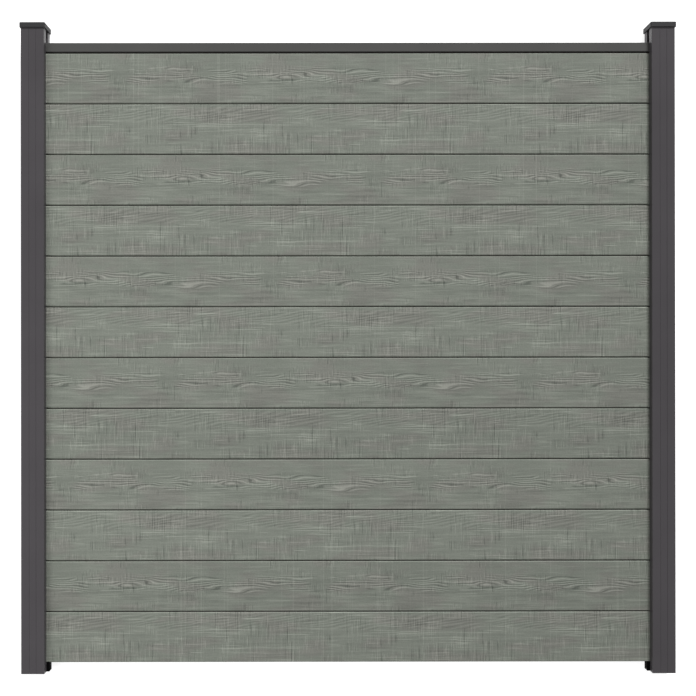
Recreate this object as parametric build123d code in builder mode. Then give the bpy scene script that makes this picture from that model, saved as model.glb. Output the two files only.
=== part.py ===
"""One bay of composite fence: twelve tongue-and-groove boards between two aluminium posts.

The bay lies on its back, face up. +X runs along the boards, +Y runs from the foot of the
posts to their caps, and +Z points out of the face. The origin is the centre of the bay's
outline on the floor.
"""

from build123d import *
import os

# Fence board: a hollow composite extrusion
board_count = 12
board_length = 1800.0
board_thickness = 20.0
board_pitch = 150.0  # height of fence that one board covers
board_gap = 2.4  # shadow gap between the faces of two boards
board_edge_chamfer = 2.6
board_skin = 4.5  # wall between a face and a chamber
board_web = 4.0  # wall between two chambers, and at the tongue and the groove
chamber_count = 4
chamber_radius = 2.0
tongue_thickness = 7.0
tongue_tip_chamfer = 1.2
groove_depth = 8.0
groove_side_gap = 0.3

# Post: an aluminium extrusion with a slot down each of its four sides
post_side = 68.0
post_wall = 1.8
post_corner_radius = 1.5
post_reach = 51.0  # how far the post stands above the top rail
slot_depth = 14.0
slot_side_gap = 0.3  # between a board's face and the slot
board_end_gap = 5.0  # between a board's end and the floor of the slot
notch_depth = 0.6  # snap notches in the slot's walls
notch_height = 2.0
notch_level = 9.0  # from the mouth of the slot to the middle of a notch

# Cover strip: closes a slot that holds no board
strip_face = 1.4
strip_side_gap = 0.4
strip_leg = 1.2
strip_edge_radius = 0.4
barb_bite = 0.3  # how far a barb stands inside its notch
barb_seat_gap = 0.2
barb_height = 2.3

# Top rail: an aluminium extrusion that sits on the top board's tongue
rail_height = 26.2
rail_gap = 5.2  # shadow gap between the rail and the top board's face
rail_wall = 1.6
rail_corner_radius = 1.0

# Spacer: a moulded block that holds the lowest board off the ground
foot_gap = 27.0
spacer_reach = 10.0  # how far it stands out of the slot
spacer_end_gap = 0.5
spacer_wall = 2.5
spacer_chamfer = 1.8

# Post cap: a moulded lid with a skirt outside the post and a plug inside it
cap_wall = 3.3
cap_side_gap = 0.2
cap_top = 2.5
cap_skirt = 12.0
cap_corner_radius = 4.0
cap_edge_radius = 1.8
plug_wall = 2.0
plug_depth = 14.0
plug_side_gap = 0.4

# Sizes that follow from the ones above
board_face = board_pitch - board_gap
tongue_height = groove_depth + board_gap
groove_width = tongue_thickness + 2 * groove_side_gap
slot_width = board_thickness + 2 * slot_side_gap
clear_width = board_length + 2 * board_end_gap - 2 * slot_depth
post_x = (clear_width + post_side) / 2
stack_height = foot_gap + board_count * board_pitch
rail_groove = tongue_height - rail_gap
rail_bottom = stack_height - board_gap + rail_gap
rail_top = rail_bottom + rail_height
post_length = rail_top + post_reach
cap_side = post_side + 2 * (cap_side_gap + cap_wall)
cap_height = cap_top + cap_skirt
plug_side = post_side - 2 * (slot_depth + post_wall + plug_side_gap)
mid_z = cap_side / 2  # the caps touch the floor, and everything is centred on them
foot_y = -(post_length + cap_top) / 2


def section_across(x, height, turn=0):
    """A plane square to the posts. Local X runs along the boards, or is turned towards the face."""
    return Plane(
        origin=(x, foot_y + height, mid_z),
        x_dir=Vector(1, 0, 0).rotate(Axis.Y, -turn),
        z_dir=(0, -1, 0),
    )


def section_along(height):
    """A plane square to the boards, with local X up the fence and local Y out of the face."""
    return Plane(origin=(0, foot_y + height, mid_z), x_dir=(0, 1, 0), z_dir=(1, 0, 0))


def fence_board(number):
    """Board number 1 is the lowest. Its groove sits on what is below, and its tongue points up."""
    chamber_room = board_face - groove_depth - 2 * board_web
    chamber_step = (chamber_room + board_web) / chamber_count
    chamber_middle = groove_depth + board_web + chamber_room / 2
    with BuildPart() as board:
        with BuildSketch(section_along(foot_gap + (number - 1) * board_pitch)):
            with Locations((board_face / 2, 0)):
                Rectangle(board_face, board_thickness)
            chamfer(vertices(), board_edge_chamfer)
            with Locations((board_face + tongue_height / 2, 0)):
                Rectangle(tongue_height, tongue_thickness)
            chamfer(vertices().group_by(Axis.X)[-1], tongue_tip_chamfer)
            with Locations((groove_depth / 2, 0)):
                Rectangle(groove_depth, groove_width, mode=Mode.SUBTRACT)
            with Locations((chamber_middle, 0)):
                with GridLocations(chamber_step, 0, chamber_count, 1):
                    RectangleRounded(
                        chamber_step - board_web,
                        board_thickness - 2 * board_skin,
                        chamber_radius,
                        mode=Mode.SUBTRACT,
                    )
        extrude(amount=board_length / 2, both=True)
    board.part.label = f"board_{number:02d}"
    return board.part


def post(name, x):
    """The section's outline has four slots, and its wall is the same all the way round."""
    with BuildPart() as extrusion:
        with BuildSketch(section_across(x, 0)):
            RectangleRounded(post_side, post_side, post_corner_radius)
            with PolarLocations((post_side - slot_depth) / 2, 4):
                Rectangle(slot_depth, slot_width, mode=Mode.SUBTRACT)
            offset(amount=-post_wall, kind=Kind.INTERSECTION, mode=Mode.SUBTRACT)
            with PolarLocations(post_side / 2 - notch_level, 4):
                Rectangle(notch_height, slot_width + 2 * notch_depth, mode=Mode.SUBTRACT)
        extrude(amount=-post_length)
    extrusion.part.label = name
    return extrusion.part


def post_cap(name, x):
    """The lid's skirt goes over the post, and its plug goes down inside."""
    with BuildPart() as cap:
        with BuildSketch(section_across(x, post_length - cap_skirt)):
            RectangleRounded(cap_side, cap_side, cap_corner_radius)
        extrude(amount=-cap_height)
        fillet(cap.faces().sort_by(Axis.Y)[-1].edges(), cap_edge_radius)
        with BuildSketch(section_across(x, post_length - cap_skirt)):
            Rectangle(cap_side - 2 * cap_wall, cap_side - 2 * cap_wall)
        extrude(amount=-cap_skirt, mode=Mode.SUBTRACT)
        with BuildSketch(section_across(x, post_length)):
            Rectangle(plug_side, plug_side)
            offset(amount=-plug_wall, kind=Kind.INTERSECTION, mode=Mode.SUBTRACT)
        extrude(amount=plug_depth)
    cap.part.label = name
    return cap.part


def cover_strip(name, x, turn):
    """A channel whose face is flush with the post and whose barbs hook into the slot's notches."""
    edge = slot_width / 2 - strip_side_gap
    barb_tip = slot_width / 2 + barb_bite
    face_back = post_side / 2 - strip_face
    barb_seat = post_side / 2 - notch_level + notch_height / 2 - barb_seat_gap
    leg_end = barb_seat - barb_height
    with BuildPart() as strip:
        with BuildSketch(section_across(x, 0, turn)):
            with BuildLine():
                Polyline(
                    (post_side / 2, 0),
                    (post_side / 2, edge),
                    (barb_seat, edge),
                    (barb_seat, barb_tip),
                    (leg_end, edge),
                    (leg_end, edge - strip_leg),
                    (face_back, edge - strip_leg),
                    (face_back, 0),
                    close=True,
                )
            make_face()
            mirror(about=Plane.XZ)
            fillet(vertices().group_by(Axis.X)[-1], strip_edge_radius)
        extrude(amount=-post_length)
    strip.part.label = name
    return strip.part


def spacer(name, x, turn):
    """The block stands in the foot of the slot, level with the foot of the post."""
    slot_floor = post_side / 2 - slot_depth
    length = slot_depth - spacer_end_gap + spacer_reach
    middle = slot_floor + spacer_end_gap + length / 2
    pocket_length = (length - 3 * spacer_wall) / 2
    with BuildPart() as block:
        with BuildSketch(section_across(x, 0, turn)):
            with Locations((middle, 0)):
                Rectangle(length, board_thickness)
        extrude(amount=-foot_gap)
        inner_end = block.faces().sort_by(Axis.X)[-1 if turn == 0 else 0]
        chamfer(inner_end.edges().sort_by(Axis.Y)[0], spacer_chamfer)
        with BuildSketch(section_across(x, 0, turn)):
            with Locations((middle, 0)):
                with GridLocations(pocket_length + spacer_wall, 0, 2, 1):
                    Rectangle(pocket_length, board_thickness - 2 * spacer_wall)
        extrude(amount=-(foot_gap - spacer_wall), mode=Mode.SUBTRACT)
    block.part.label = name
    return block.part


def top_rail():
    """The rail's groove sits on the tongue of the highest board."""
    with BuildPart() as rail:
        with BuildSketch(section_along(rail_bottom)):
            with Locations((rail_height / 2, 0)):
                RectangleRounded(rail_height, board_thickness, rail_corner_radius)
            with Locations((rail_groove / 2, 0)):
                Rectangle(rail_groove, groove_width, mode=Mode.SUBTRACT)
            offset(amount=-rail_wall, kind=Kind.INTERSECTION, mode=Mode.SUBTRACT)
        extrude(amount=board_length / 2, both=True)
    rail.part.label = "top_rail"
    return rail.part


parts = [fence_board(number) for number in range(1, board_count + 1)]
parts.append(top_rail())
for side, x, inward in (("left", -post_x, 0), ("right", post_x, 180)):
    parts.append(post(f"post_{side}", x))
    parts.append(post_cap(f"cap_{side}", x))
    parts.append(spacer(f"spacer_{side}", x, inward))
    parts.append(cover_strip(f"cover_strip_{side}_front", x, 90))
    parts.append(cover_strip(f"cover_strip_{side}_back", x, 270))
    parts.append(cover_strip(f"cover_strip_{side}_outer", x, inward + 180))

os.makedirs("parts", exist_ok=True)
for part in parts:
    export_step(part, f"parts/{part.label}.step")
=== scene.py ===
import math

import bpy
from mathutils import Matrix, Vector


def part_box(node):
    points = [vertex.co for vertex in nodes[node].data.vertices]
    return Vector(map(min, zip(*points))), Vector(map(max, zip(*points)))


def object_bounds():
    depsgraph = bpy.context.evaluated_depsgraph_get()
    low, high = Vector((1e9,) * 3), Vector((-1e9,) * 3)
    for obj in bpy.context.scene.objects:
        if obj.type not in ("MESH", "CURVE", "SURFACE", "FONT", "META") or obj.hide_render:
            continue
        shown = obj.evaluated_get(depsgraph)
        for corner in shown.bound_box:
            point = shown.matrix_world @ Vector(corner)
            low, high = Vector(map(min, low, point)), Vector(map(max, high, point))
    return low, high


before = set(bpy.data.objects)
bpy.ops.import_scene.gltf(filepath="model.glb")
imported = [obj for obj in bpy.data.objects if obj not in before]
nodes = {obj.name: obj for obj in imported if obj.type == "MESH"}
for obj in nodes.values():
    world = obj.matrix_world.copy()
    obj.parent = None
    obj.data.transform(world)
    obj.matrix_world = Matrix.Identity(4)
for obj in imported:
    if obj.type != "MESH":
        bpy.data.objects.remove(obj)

cadBox = [list(corner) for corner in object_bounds()]
scene = bpy.context.scene
mm = 0.001
print("frame loaded:", len(nodes), "pieces")


# sRGB hex code to the linear colour that a shader takes
def linearColour(hexCode):
    channels = [int(hexCode[i:i + 2], 16) / 255 for i in (1, 3, 5)]
    return [c / 12.92 if c <= 0.04045 else ((c + 0.055) / 1.055) ** 2.4 for c in channels] + [1.0]


# adds a node; an input takes a value, a socket to link, or a node whose first output is linked
def addNode(tree, kind, inputs=(), **settings):
    node = tree.nodes.new(kind)
    for name, value in settings.items():
        setattr(node, name, value)
    for socket, value in inputs.items() if isinstance(inputs, dict) else enumerate(inputs):
        if isinstance(value, bpy.types.Node):
            value = value.outputs[0]
        if isinstance(value, bpy.types.NodeSocket):
            tree.links.new(value, node.inputs[socket])
        else:
            node.inputs[socket].default_value = value
    return node


# an empty material, and its tree
def newMaterial(name):
    material = bpy.data.materials.new(name)
    material.use_nodes = True
    material.node_tree.nodes.clear()
    return material, material.node_tree


# what a finish ends in: its colour and roughness on the shader, and its relief as bump
def addSurface(tree, colour, roughness, relief, depth, specular, ior):
    bump = addNode(tree, "ShaderNodeBump", {"Height": relief, "Distance": depth})
    shader = addNode(tree, "ShaderNodeBsdfPrincipled", {
        "Base Color": colour,
        "Roughness": roughness,
        "Normal": bump,
        "Specular IOR Level": specular,
        "IOR": ior,
    })
    addNode(tree, "ShaderNodeOutputMaterial", {"Surface": shader})


# what every board shares; lengths in metres
boards = {
    "lowest": "board_01",
    "next": "board_02",
    "girth": 1.06,  # round the embossing roll, after which the grain repeats
    "shift": 0.377,  # how much further along the roll each board was cut
    "dark": "#4b514a",
    "light": "#a8ada2",
    "brown": "#fff9fc",  # tint of the browner patches
    "brownSize": (120 * mm, 50 * mm),
    "brownEdge": (0.46, 0.62),
    "gapShadedCore": "#2b2725",  # the bare composite of tongue and groove, made dark as painted shade for the gaps between boards
    "skinReach": 3.0 * mm,  # how far in from the face the coloured skin goes
    "mottle": 0.22,  # how strongly the skin's mottle shows in the tone
    "mottleSize": 4 * mm,  # about 1 mm across in the skin; drawn at 4 mm so that it shows
    "mottleRelief": 0.1,
    "cloudSize": (100 * mm, 40 * mm),
    "batch": 0.05,  # how much one board's tone differs from the next
    "crossLines": 0.10,
    "reliefShare": 2,  # how strongly a pattern shows in the relief, beside its strength in the tone
    "depth": 0.45 * mm,  # of the embossing
    "roughness": (0.72, 0.56),  # down in the grain, up on it
    "specular": 0.3,
    "ior": 1.48,
}

# two embossing rolls, which take turns up the fence; arches, streaks, combs, ticks and clouds are how
# strongly each of these patterns shows
flowingRoll = {
    "name": "co-extruded composite, flowing grain",
    "seed": 1.0,
    "archHeight": 0.53,  # middle of the arched grain, as a part of the board's height
    "archReach": (0.12, 0.17),  # half its height: all of it, then none
    "archLean": 0.0,  # slope at which the lines climb along the board
    "archSpacing": 7.5 * mm,
    "archBend": 5.5,  # how far they are bent, in spacings
    "arches": 0.29,
    "streakTop": (0.34, 0.50),  # streaks are strong below the first height, faint above the second
    "streaks": 0.68,
    "combs": 0.10,
    "ticks": 0.15,
    "tickPatchEdge": (0.47, 0.60),
    "tickLength": 26 * mm,
    "cutLength": 40 * mm,
    "tickCuts": 1.4,  # how deep the cut marks are beside the raised ones
    "clouds": 0.30,
}
sawnRoll = {
    "name": "co-extruded composite, saw-marked grain",
    "seed": 7.0,
    "archHeight": 0.78,
    "archReach": (0.07, 0.20),
    "archLean": 0.14,
    "archSpacing": 8.5 * mm,
    "archBend": 3.0,
    "arches": 0.12,
    "streakTop": (0.9, 1.0),
    "streaks": 0.50,
    "combs": 0.29,
    "ticks": 0.18,
    "tickPatchEdge": (0.36, 0.54),
    "tickLength": 40 * mm,
    "cutLength": 95 * mm,
    "tickCuts": 1.4,
    "clouds": 0.10,
}


# where a point is on its board, and on the roll that embossed it
def rollPlace(tree, look):
    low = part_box(boards["lowest"])[0].y
    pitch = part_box(boards["next"])[0].y - low
    point = addNode(tree, "ShaderNodeTexCoord").outputs["Object"]
    axes = addNode(tree, "ShaderNodeSeparateXYZ", [point])
    rise = addNode(tree, "ShaderNodeMath", [axes.outputs["Y"], low], operation="SUBTRACT")
    rows = addNode(tree, "ShaderNodeMath", [rise, pitch], operation="DIVIDE")
    number = addNode(tree, "ShaderNodeMath", [rows], operation="FLOOR")
    height = addNode(tree, "ShaderNodeMath", [rows, number], operation="SUBTRACT")
    up = addNode(tree, "ShaderNodeMath", [height, pitch], operation="MULTIPLY")
    along = addNode(tree, "ShaderNodeMath", [number, boards["shift"], axes.outputs["X"]],
                    operation="MULTIPLY_ADD")
    # noise read round a circle closes on itself, as the roll's pattern does
    radius = boards["girth"] / math.tau
    angle = addNode(tree, "ShaderNodeMath", [along, radius], operation="DIVIDE")
    across = addNode(tree, "ShaderNodeMath", [angle], operation="COSINE")
    over = addNode(tree, "ShaderNodeMath", [angle], operation="SINE")
    acrossRoll = addNode(tree, "ShaderNodeMath", [across, radius], operation="MULTIPLY")
    overRoll = addNode(tree, "ShaderNodeMath", [over, radius], operation="MULTIPLY")
    alongAxis = addNode(tree, "ShaderNodeMath", [up, look["seed"]], operation="ADD")
    roll = addNode(tree, "ShaderNodeCombineXYZ", [acrossRoll, overRoll, alongAxis])
    return {"point": point, "out": axes.outputs["Z"], "number": number, "height": height,
            "up": up, "along": along, "roll": roll}


# a pattern on the roll, with patches of this length along the board and this height up it
def rollPattern(tree, place, size, detail=0.0, roughness=0.5):
    length, height = size
    stretched = addNode(tree, "ShaderNodeVectorMath",
                        [place["roll"], (1 / length, 1 / length, 1 / height)], operation="MULTIPLY")
    return addNode(tree, "ShaderNodeTexNoise", {"Vector": stretched, "Scale": 1.0, "Detail": detail,
                                                "Roughness": roughness})


# marks on the roll: an edge is where in the pattern they start to show, and where they show fully
def rollMarks(tree, place, size, edge, detail=0.0):
    pattern = rollPattern(tree, place, size, detail)
    return addNode(tree, "ShaderNodeMapRange", [pattern, *edge], interpolation_type="SMOOTHSTEP")


archLook = {
    "bendSize": (130 * mm, 30 * mm),
    "ridge": (0.5, 0.95),
    "furrow": (-0.5, -0.95),
    "lift": 0.15,  # of the ground between the lines
    "wanderSize": (200 * mm, math.inf),  # the same all the way up
    "wander": 0.2,  # of the band's middle, as a part of the board's height
    "patchSize": (75 * mm, 20 * mm),
    "patchEdge": (0.32, 0.48),
}


# growth rings cut at a slant: lines some 8 mm apart, which a slow pattern bends into arches and lenses
def archedGrain(tree, place, look):
    bend = rollPattern(tree, place, archLook["bendSize"], detail=1.0)
    leaning = addNode(tree, "ShaderNodeMath", [place["along"], -look["archLean"], place["up"]],
                      operation="MULTIPLY_ADD")
    straight = addNode(tree, "ShaderNodeMath", [leaning, look["archSpacing"]], operation="DIVIDE")
    phase = addNode(tree, "ShaderNodeMath", [bend, look["archBend"], straight],
                    operation="MULTIPLY_ADD")
    turn = addNode(tree, "ShaderNodeMath", [phase, math.tau], operation="MULTIPLY")
    wave = addNode(tree, "ShaderNodeMath", [turn], operation="SINE")
    ridge = addNode(tree, "ShaderNodeMapRange", [wave, *archLook["ridge"]],
                    interpolation_type="SMOOTHSTEP")
    furrow = addNode(tree, "ShaderNodeMapRange", [wave, *archLook["furrow"]],
                     interpolation_type="SMOOTHSTEP")
    lines = addNode(tree, "ShaderNodeMath", [ridge, furrow], operation="SUBTRACT")
    lines = addNode(tree, "ShaderNodeMath", [lines, archLook["lift"]], operation="ADD")
    # they keep to a band that wanders up and down, and fade in and out along it
    slow = rollPattern(tree, place, archLook["wanderSize"])
    wander = archLook["wander"]
    middle = addNode(tree, "ShaderNodeMath", [slow, wander, look["archHeight"] - wander / 2],
                     operation="MULTIPLY_ADD")
    offset = addNode(tree, "ShaderNodeMath", [place["height"], middle], operation="SUBTRACT")
    away = addNode(tree, "ShaderNodeMath", [offset], operation="ABSOLUTE")
    full, none = look["archReach"]
    band = addNode(tree, "ShaderNodeMapRange", [away, none, full], interpolation_type="SMOOTHSTEP")
    patch = rollMarks(tree, place, archLook["patchSize"], archLook["patchEdge"])
    shown = addNode(tree, "ShaderNodeMath", [band, patch], operation="MULTIPLY")
    return addNode(tree, "ShaderNodeMath", [lines, shown], operation="MULTIPLY")


streakLook = {
    "size": (130 * mm, 7.5 * mm),
    "detail": 3.0,
    "roughness": 0.6,
    "middle": 0.5,  # level of the pattern at which a streak is neither raised nor cut
    "faint": 0.3,  # their strength where they are faint
}


# soft streaks along the board
def longStreaks(tree, place, look):
    pattern = rollPattern(tree, place, streakLook["size"], streakLook["detail"], streakLook["roughness"])
    level = addNode(tree, "ShaderNodeMath", [pattern, streakLook["middle"]], operation="SUBTRACT")
    strong, faint = look["streakTop"]
    share = addNode(tree, "ShaderNodeMapRange",
                    [place["height"], strong, faint, 1.0, streakLook["faint"]])
    return addNode(tree, "ShaderNodeMath", [level, share], operation="MULTIPLY")


combLook = {
    "size": (100 * mm, 2.6 * mm),
    "edge": (0.57, 0.66),
    "patchSize": (110 * mm, 35 * mm),
    "patchEdge": (0.40, 0.60),
}


# fine raised lines along the board, in patches
def combLines(tree, place):
    lines = rollMarks(tree, place, combLook["size"], combLook["edge"])
    patch = rollMarks(tree, place, combLook["patchSize"], combLook["patchEdge"], detail=1.0)
    return addNode(tree, "ShaderNodeMath", [lines, patch], operation="MULTIPLY")


sawLook = {
    "width": 2.3 * mm,
    "raisedEdge": (0.59, 0.67),
    "cutEdge": (0.34, 0.27),
    "patchSize": (90 * mm, 50 * mm),
}


# saw marks across the board in patches, the raised ones short and the cut ones longer and fewer
def sawTicks(tree, place, look):
    raised = rollMarks(tree, place, (sawLook["width"], look["tickLength"]), sawLook["raisedEdge"])
    cut = rollMarks(tree, place, (sawLook["width"], look["cutLength"]), sawLook["cutEdge"])
    ticks = addNode(tree, "ShaderNodeMath", [cut, -look["tickCuts"], raised], operation="MULTIPLY_ADD")
    patch = rollMarks(tree, place, sawLook["patchSize"], look["tickPatchEdge"], detail=1.0)
    return addNode(tree, "ShaderNodeMath", [ticks, patch], operation="MULTIPLY")


crossLook = {
    "width": 4.2 * mm,
    "drift": 0.6,  # how fast they change up the fence, for each metre
    "edge": (0.68, 0.78),
}


# a few pale lines straight across, which carry on from board to board
def crossLines(tree, place):
    stretched = addNode(tree, "ShaderNodeVectorMath",
                        [place["point"], (1 / crossLook["width"], crossLook["drift"], 0.0)],
                        operation="MULTIPLY")
    pattern = addNode(tree, "ShaderNodeTexNoise", {"Vector": stretched, "Scale": 1.0, "Detail": 0.0})
    return addNode(tree, "ShaderNodeMapRange", [pattern, *crossLook["edge"]],
                   interpolation_type="SMOOTHSTEP")


# Wood-plastic composite with a co-extruded skin: matt, slightly waxy, embossed by a hot steel roll,
# so light rakes over its grain instead of sinking in, and its colour hardly varies.
def boardMaterial(look):
    material, tree = newMaterial(look["name"])
    place = rollPlace(tree, look)

    # under the grain: the skin's own mottle, slow clouds in its colour, and the board's own tone
    mottle = addNode(tree, "ShaderNodeTexNoise",
                     {"Vector": place["point"], "Scale": 1 / boards["mottleSize"], "Detail": 1.0})
    cloud = rollPattern(tree, place, boards["cloudSize"], detail=2.0)
    batch = addNode(tree, "ShaderNodeTexWhiteNoise", {"W": place["number"]}, noise_dimensions="1D")
    layers = (
        (mottle, boards["mottle"]),
        (cloud, look["clouds"]),
        (batch, boards["batch"]),
    )
    # each of them averages one half, and so does the tone they make
    tone = 0.5 - 0.5 * sum(strength for layer, strength in layers)
    for layer, strength in layers:
        tone = addNode(tree, "ShaderNodeMath", [layer, strength, tone], operation="MULTIPLY_ADD")
    relief = addNode(tree, "ShaderNodeMath", [mottle, boards["mottleRelief"]], operation="MULTIPLY")

    patterns = (
        (archedGrain(tree, place, look), look["arches"]),
        (longStreaks(tree, place, look), look["streaks"]),
        (combLines(tree, place), look["combs"]),
        (sawTicks(tree, place, look), look["ticks"]),
        (crossLines(tree, place), boards["crossLines"]),
    )
    for pattern, strength in patterns:
        tone = addNode(tree, "ShaderNodeMath", [pattern, strength, tone], operation="MULTIPLY_ADD")
        relief = addNode(tree, "ShaderNodeMath", [pattern, boards["reliefShare"] * strength, relief],
                         operation="MULTIPLY_ADD")

    grain = addNode(tree, "ShaderNodeMix", {0: tone, 6: linearColour(boards["dark"]),
                                            7: linearColour(boards["light"])}, data_type="RGBA")
    # the pigment is streaky: browner patches in the green-grey
    brown = rollMarks(tree, place, boards["brownSize"], boards["brownEdge"], detail=2.0)
    tinted = addNode(tree, "ShaderNodeMix", {0: brown, 6: grain.outputs[2],
                                             7: linearColour(boards["brown"])},
                     data_type="RGBA", blend_type="MULTIPLY")
    # the skin ends just behind the chamfers; behind it tongue and groove take the dark core colour,
    # which is painted shade that darkens the gaps between boards
    back, front = (corner.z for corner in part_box(boards["lowest"]))
    out = addNode(tree, "ShaderNodeMath", [place["out"], (back + front) / 2], operation="SUBTRACT")
    fromMiddle = addNode(tree, "ShaderNodeMath", [out], operation="ABSOLUTE")
    skinNotShadedGap = addNode(tree, "ShaderNodeMath", [fromMiddle, (front - back) / 2 - boards["skinReach"]],
                      operation="GREATER_THAN")
    colour = addNode(tree, "ShaderNodeMix", {0: skinNotShadedGap, 6: linearColour(boards["gapShadedCore"]),
                                             7: tinted.outputs[2]}, data_type="RGBA")
    rough = addNode(tree, "ShaderNodeMapRange", [tone, 0.0, 1.0, *boards["roughness"]])
    addSurface(tree, colour.outputs[2], rough, relief, boards["depth"], boards["specular"],
               boards["ior"])
    return material


coat = {
    "peelSize": 2 * mm,  # the film's peel is about 0.5 mm across; drawn at 2 mm so that it shows
    "depth": 0.02 * mm,
    "cloudSize": 170 * mm,
    "roughness": (0.30, 0.42),
    "specular": 0.22,
    "ior": 1.5,
}
postCoatLook = {
    "name": "powder-coated aluminium, anthracite",
    "dark": "#474447",
    "light": "#535053",
}
railCoatLook = {
    "name": "powder-coated aluminium, anthracite rail",
    "dark": "#4c4c4b",
    "light": "#5a5a58",
}


# Polyester powder coat on extruded aluminium: dark and satin, with the baked film's fine orange peel,
# which breaks a reflection up into a soft grain.
def powderCoat(look):
    material, tree = newMaterial(look["name"])
    point = addNode(tree, "ShaderNodeTexCoord").outputs["Object"]
    peel = addNode(tree, "ShaderNodeTexNoise",
                   {"Vector": point, "Scale": 1 / coat["peelSize"], "Detail": 2.0})
    cloud = addNode(tree, "ShaderNodeTexNoise",
                    {"Vector": point, "Scale": 1 / coat["cloudSize"], "Detail": 2.0})
    colour = addNode(tree, "ShaderNodeMix", {0: cloud, 6: linearColour(look["dark"]),
                                             7: linearColour(look["light"])}, data_type="RGBA")
    rough = addNode(tree, "ShaderNodeMapRange", [peel, 0.0, 1.0, *coat["roughness"]])
    addSurface(tree, colour.outputs[2], rough, peel, coat["depth"], coat["specular"], coat["ior"])
    return material


plastic = {
    "grainSize": 1.5 * mm,  # about 0.3 mm across on the tool; drawn at 1.5 mm so that it shows
    "depth": 0.03 * mm,
    "ior": 1.5,
}
capLook = {
    "name": "moulded ABS, dark grey",
    "dark": "#282829",
    "light": "#323233",
    "roughness": (0.5, 0.7),
    "specular": 0.3,
}
spacerLook = {
    "name": "moulded polypropylene, black",
    "dark": "#030303",
    "light": "#080808",
    "roughness": (0.75, 0.9),
    "specular": 0.06,
}


# Moulded plastic from a spark-eroded tool: even in colour, with a matt grain that dulls the light.
def mouldedPlastic(look):
    material, tree = newMaterial(look["name"])
    point = addNode(tree, "ShaderNodeTexCoord").outputs["Object"]
    spark = addNode(tree, "ShaderNodeTexNoise",
                    {"Vector": point, "Scale": 1 / plastic["grainSize"], "Detail": 2.0})
    colour = addNode(tree, "ShaderNodeMix", {0: spark, 6: linearColour(look["dark"]),
                                             7: linearColour(look["light"])}, data_type="RGBA")
    rough = addNode(tree, "ShaderNodeMapRange", [spark, 0.0, 1.0, *look["roughness"]])
    addSurface(tree, colour.outputs[2], rough, spark, plastic["depth"], look["specular"],
               plastic["ior"])
    return material


flowingBoard = boardMaterial(flowingRoll)
sawnBoard = boardMaterial(sawnRoll)
postCoat = powderCoat(postCoatLook)
railCoat = powderCoat(railCoatLook)
capPlastic = mouldedPlastic(capLook)
spacerPlastic = mouldedPlastic(spacerLook)
print("materials made")

for name, piece in nodes.items():
    if name.startswith("board_"):
        finish = flowingBoard if int(name[-2:]) % 2 == 0 else sawnBoard
    elif name.startswith("cap_"):
        finish = capPlastic
    elif name.startswith("spacer_"):
        finish = spacerPlastic
    elif name == "top_rail":
        finish = railCoat
    else:
        finish = postCoat
    for slot in piece.material_slots:
        slot.material = finish
print("finishes on")

# the camera looks down at the face, almost square to it, from a little left of the middle
view = {
    "distance": 3.0,  # from the front of the posts, in metres
    "frameWidth": 2.0391,  # of the picture there
    "centre": (-0.0006, -0.0007),  # of the picture, from the fence's middle
    "aside": -0.082,  # of the camera, from the fence's middle
    "tilt": 0.06,  # degrees, towards the caps
    "turn": -0.06,  # away from the left post
    "roll": 0.066,
    "sensor": 36,  # millimetres wide
}
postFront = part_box("post_left")[1].z
middle = (Vector(cadBox[0]) + Vector(cadBox[1])) / 2
lens = bpy.data.cameras.new("camera")
lens.sensor_width = view["sensor"]
lens.lens = view["sensor"] * view["distance"] / view["frameWidth"]
tilt, turn, roll = (math.radians(view[angle]) for angle in ("tilt", "turn", "roll"))
# the shift brings the picture back to the fence's middle
centre = view["centre"]
lens.shift_x = (view["distance"] * math.tan(turn) + centre[0] - view["aside"]) / view["frameWidth"]
lens.shift_y = -view["distance"] * math.tan(tilt) / view["frameWidth"]
camera = bpy.data.objects.new("camera", lens)
camera.location = (view["aside"], middle.y + centre[1], postFront + view["distance"])
camera.rotation_euler = (tilt, turn, -roll)
scene.collection.objects.link(camera)
scene.camera = camera
print("camera set")

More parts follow.
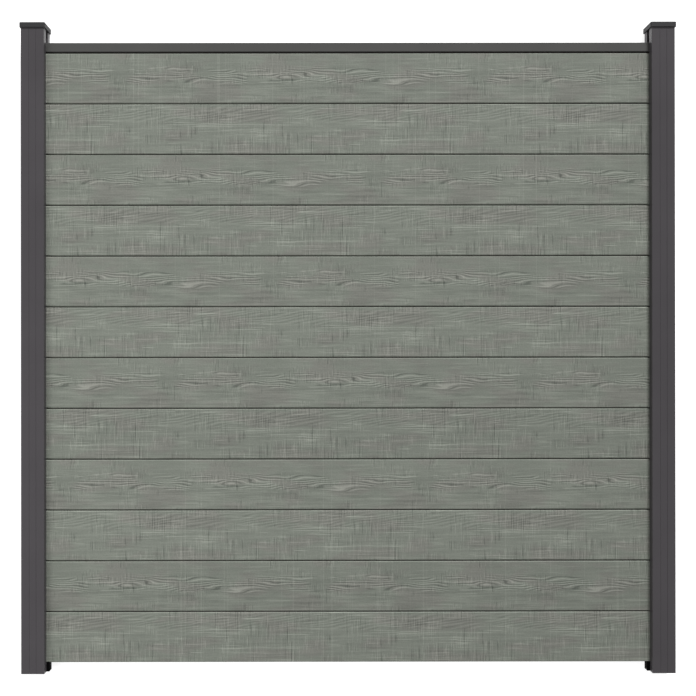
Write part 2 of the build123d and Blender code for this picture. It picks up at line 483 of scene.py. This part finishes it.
# a large lamp far off beyond the top of the fence, a weak one over its lower left, and a soft sky
lamps = {
    "key": {"place": (3.0, 13.4, 8.2), "size": 3.0, "power": 2350, "glossy": True},
    "fill": {"place": (-2.0, -0.65, 2.2), "size": 1.4, "power": 20, "glossy": False},
}
skyStrength = 0.18
for name, look in lamps.items():
    light = bpy.data.lights.new(name, "AREA")
    light.size = look["size"]
    light.energy = look["power"]
    lamp = bpy.data.objects.new(name, light)
    lamp.location = look["place"]
    lamp.rotation_euler = (-Vector(look["place"])).to_track_quat("-Z", "Y").to_euler()
    lamp.visible_glossy = look["glossy"]
    scene.collection.objects.link(lamp)


# 1 on the rays that show the surroundings, and 0 on those that light the fence
def showsWhite(tree):
    path = addNode(tree, "ShaderNodeLightPath").outputs
    seen = addNode(tree, "ShaderNodeMath", [path["Is Camera Ray"], path["Is Glossy Ray"]],
                   operation="MAXIMUM")
    return addNode(tree, "ShaderNodeMath", [seen, path["Is Transmission Ray"]], operation="MAXIMUM")


world = bpy.data.worlds.new("studio")
scene.world = world
world.use_nodes = True
sky = world.node_tree
sky.nodes.clear()
strength = addNode(sky, "ShaderNodeMapRange", [showsWhite(sky), 0.0, 1.0, skyStrength, 1.0])
background = addNode(sky, "ShaderNodeBackground", {"Color": linearColour("#ffffff"),
                                                   "Strength": strength})
addNode(sky, "ShaderNodeOutputWorld", {"Surface": background})
print("lamps and sky on")

# level with the backs of the caps; its glow whitens it to the eye and in reflections, and nowhere else
floorLook = {
    "colour": "#d8d8d8",
    "roughness": 0.9,
    "glow": 0.85,
    "reach": 12.0,  # from the middle to each side, in metres
}
floorMaterial, tree = newMaterial("white studio floor")
glow = addNode(tree, "ShaderNodeMath", [showsWhite(tree), floorLook["glow"]], operation="MULTIPLY")
shader = addNode(tree, "ShaderNodeBsdfPrincipled", {
    "Base Color": linearColour(floorLook["colour"]),
    "Roughness": floorLook["roughness"],
    "Emission Color": linearColour("#ffffff"),
    "Emission Strength": glow,
})
addNode(tree, "ShaderNodeOutputMaterial", {"Surface": shader})

reach = floorLook["reach"]
floorMesh = bpy.data.meshes.new("floor")
floorMesh.from_pydata([(-reach, -reach, 0), (reach, -reach, 0), (reach, reach, 0), (-reach, reach, 0)],
                      [], [(0, 1, 2, 3)])
floorMesh.materials.append(floorMaterial)
floor = bpy.data.objects.new("floor", floorMesh)
scene.collection.objects.link(floor)
print("floor laid")

scene.view_settings.view_transform = "Standard"
